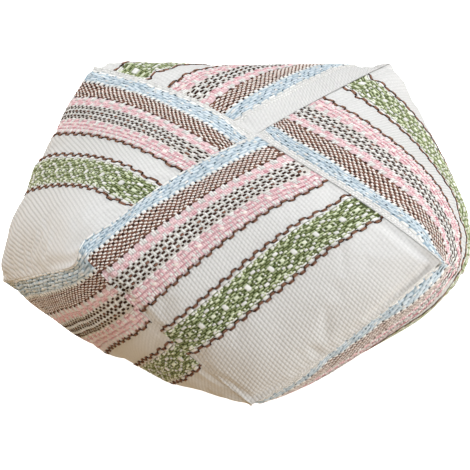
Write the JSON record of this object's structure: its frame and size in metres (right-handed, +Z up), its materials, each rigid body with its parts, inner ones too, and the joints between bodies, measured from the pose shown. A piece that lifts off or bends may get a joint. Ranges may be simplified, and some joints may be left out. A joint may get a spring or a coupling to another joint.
{
  "type": "pouf cover",
  "caption": "Low filled pouf of eight square striped cloth panels: four pinwheel panels fold over the top's shoulder, four fill the sides and fold under to a flat base.",
  "frame": {"origin": "middle of the box at the level of the flat base", "axes": "+Z up from the floor through the middle of the top, -Y towards the viewer of the picture, +X to their right"},
  "size_m": [0.533, 0.4848, 0.2845],
  "materials": {
    "striped_cloth": "off-white plain-woven cotton with lengthwise stripes of raised pale blue, brown, pink and green pattern yarn"
  },
  "bodies": {
    "root": {"top_panel_front": "striped_cloth", "top_panel_right": "striped_cloth", "top_panel_back": "striped_cloth", "top_panel_left": "striped_cloth", "bottom_panel_front_left": "striped_cloth", "bottom_panel_front_right": "striped_cloth", "bottom_panel_back_right": "striped_cloth", "bottom_panel_back_left": "striped_cloth"}
  },
  "joints": []
}
